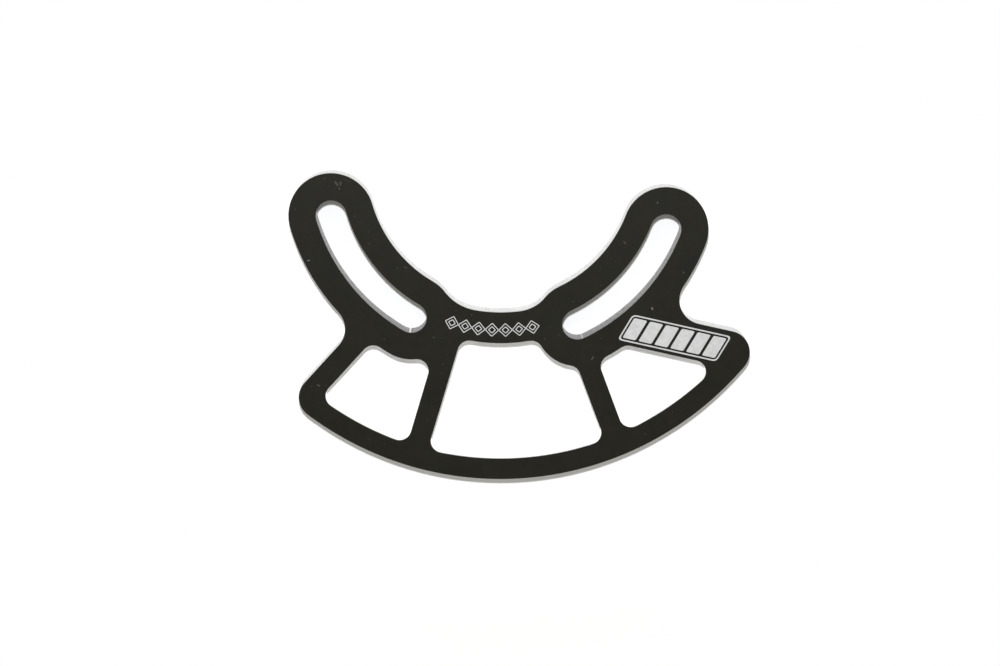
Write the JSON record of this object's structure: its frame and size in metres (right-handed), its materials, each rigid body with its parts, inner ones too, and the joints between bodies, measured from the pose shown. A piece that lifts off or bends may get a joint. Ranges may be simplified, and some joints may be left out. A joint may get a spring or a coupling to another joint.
{
  "type": "chainring guard",
  "caption": "Flat aluminium plate that shields a bicycle chainring's lower teeth: a curved rim on legs and spokes, held by slotted arms that bolt around the crank.",
  "frame": {"origin": "the crank axis, which is the centre of the bolt circle, on the plate's back face", "axes": "+Z out of the front face along the crank axis, +Y from the rim towards the crank axis, +X to the right as seen from the front"},
  "size_m": [0.096, 0.0646, 0.006],
  "materials": {
    "plate": "black anodised faces with bare machined walls"
  },
  "bodies": {
    "root": {"guard_plate": "plate"}
  },
  "joints": []
}
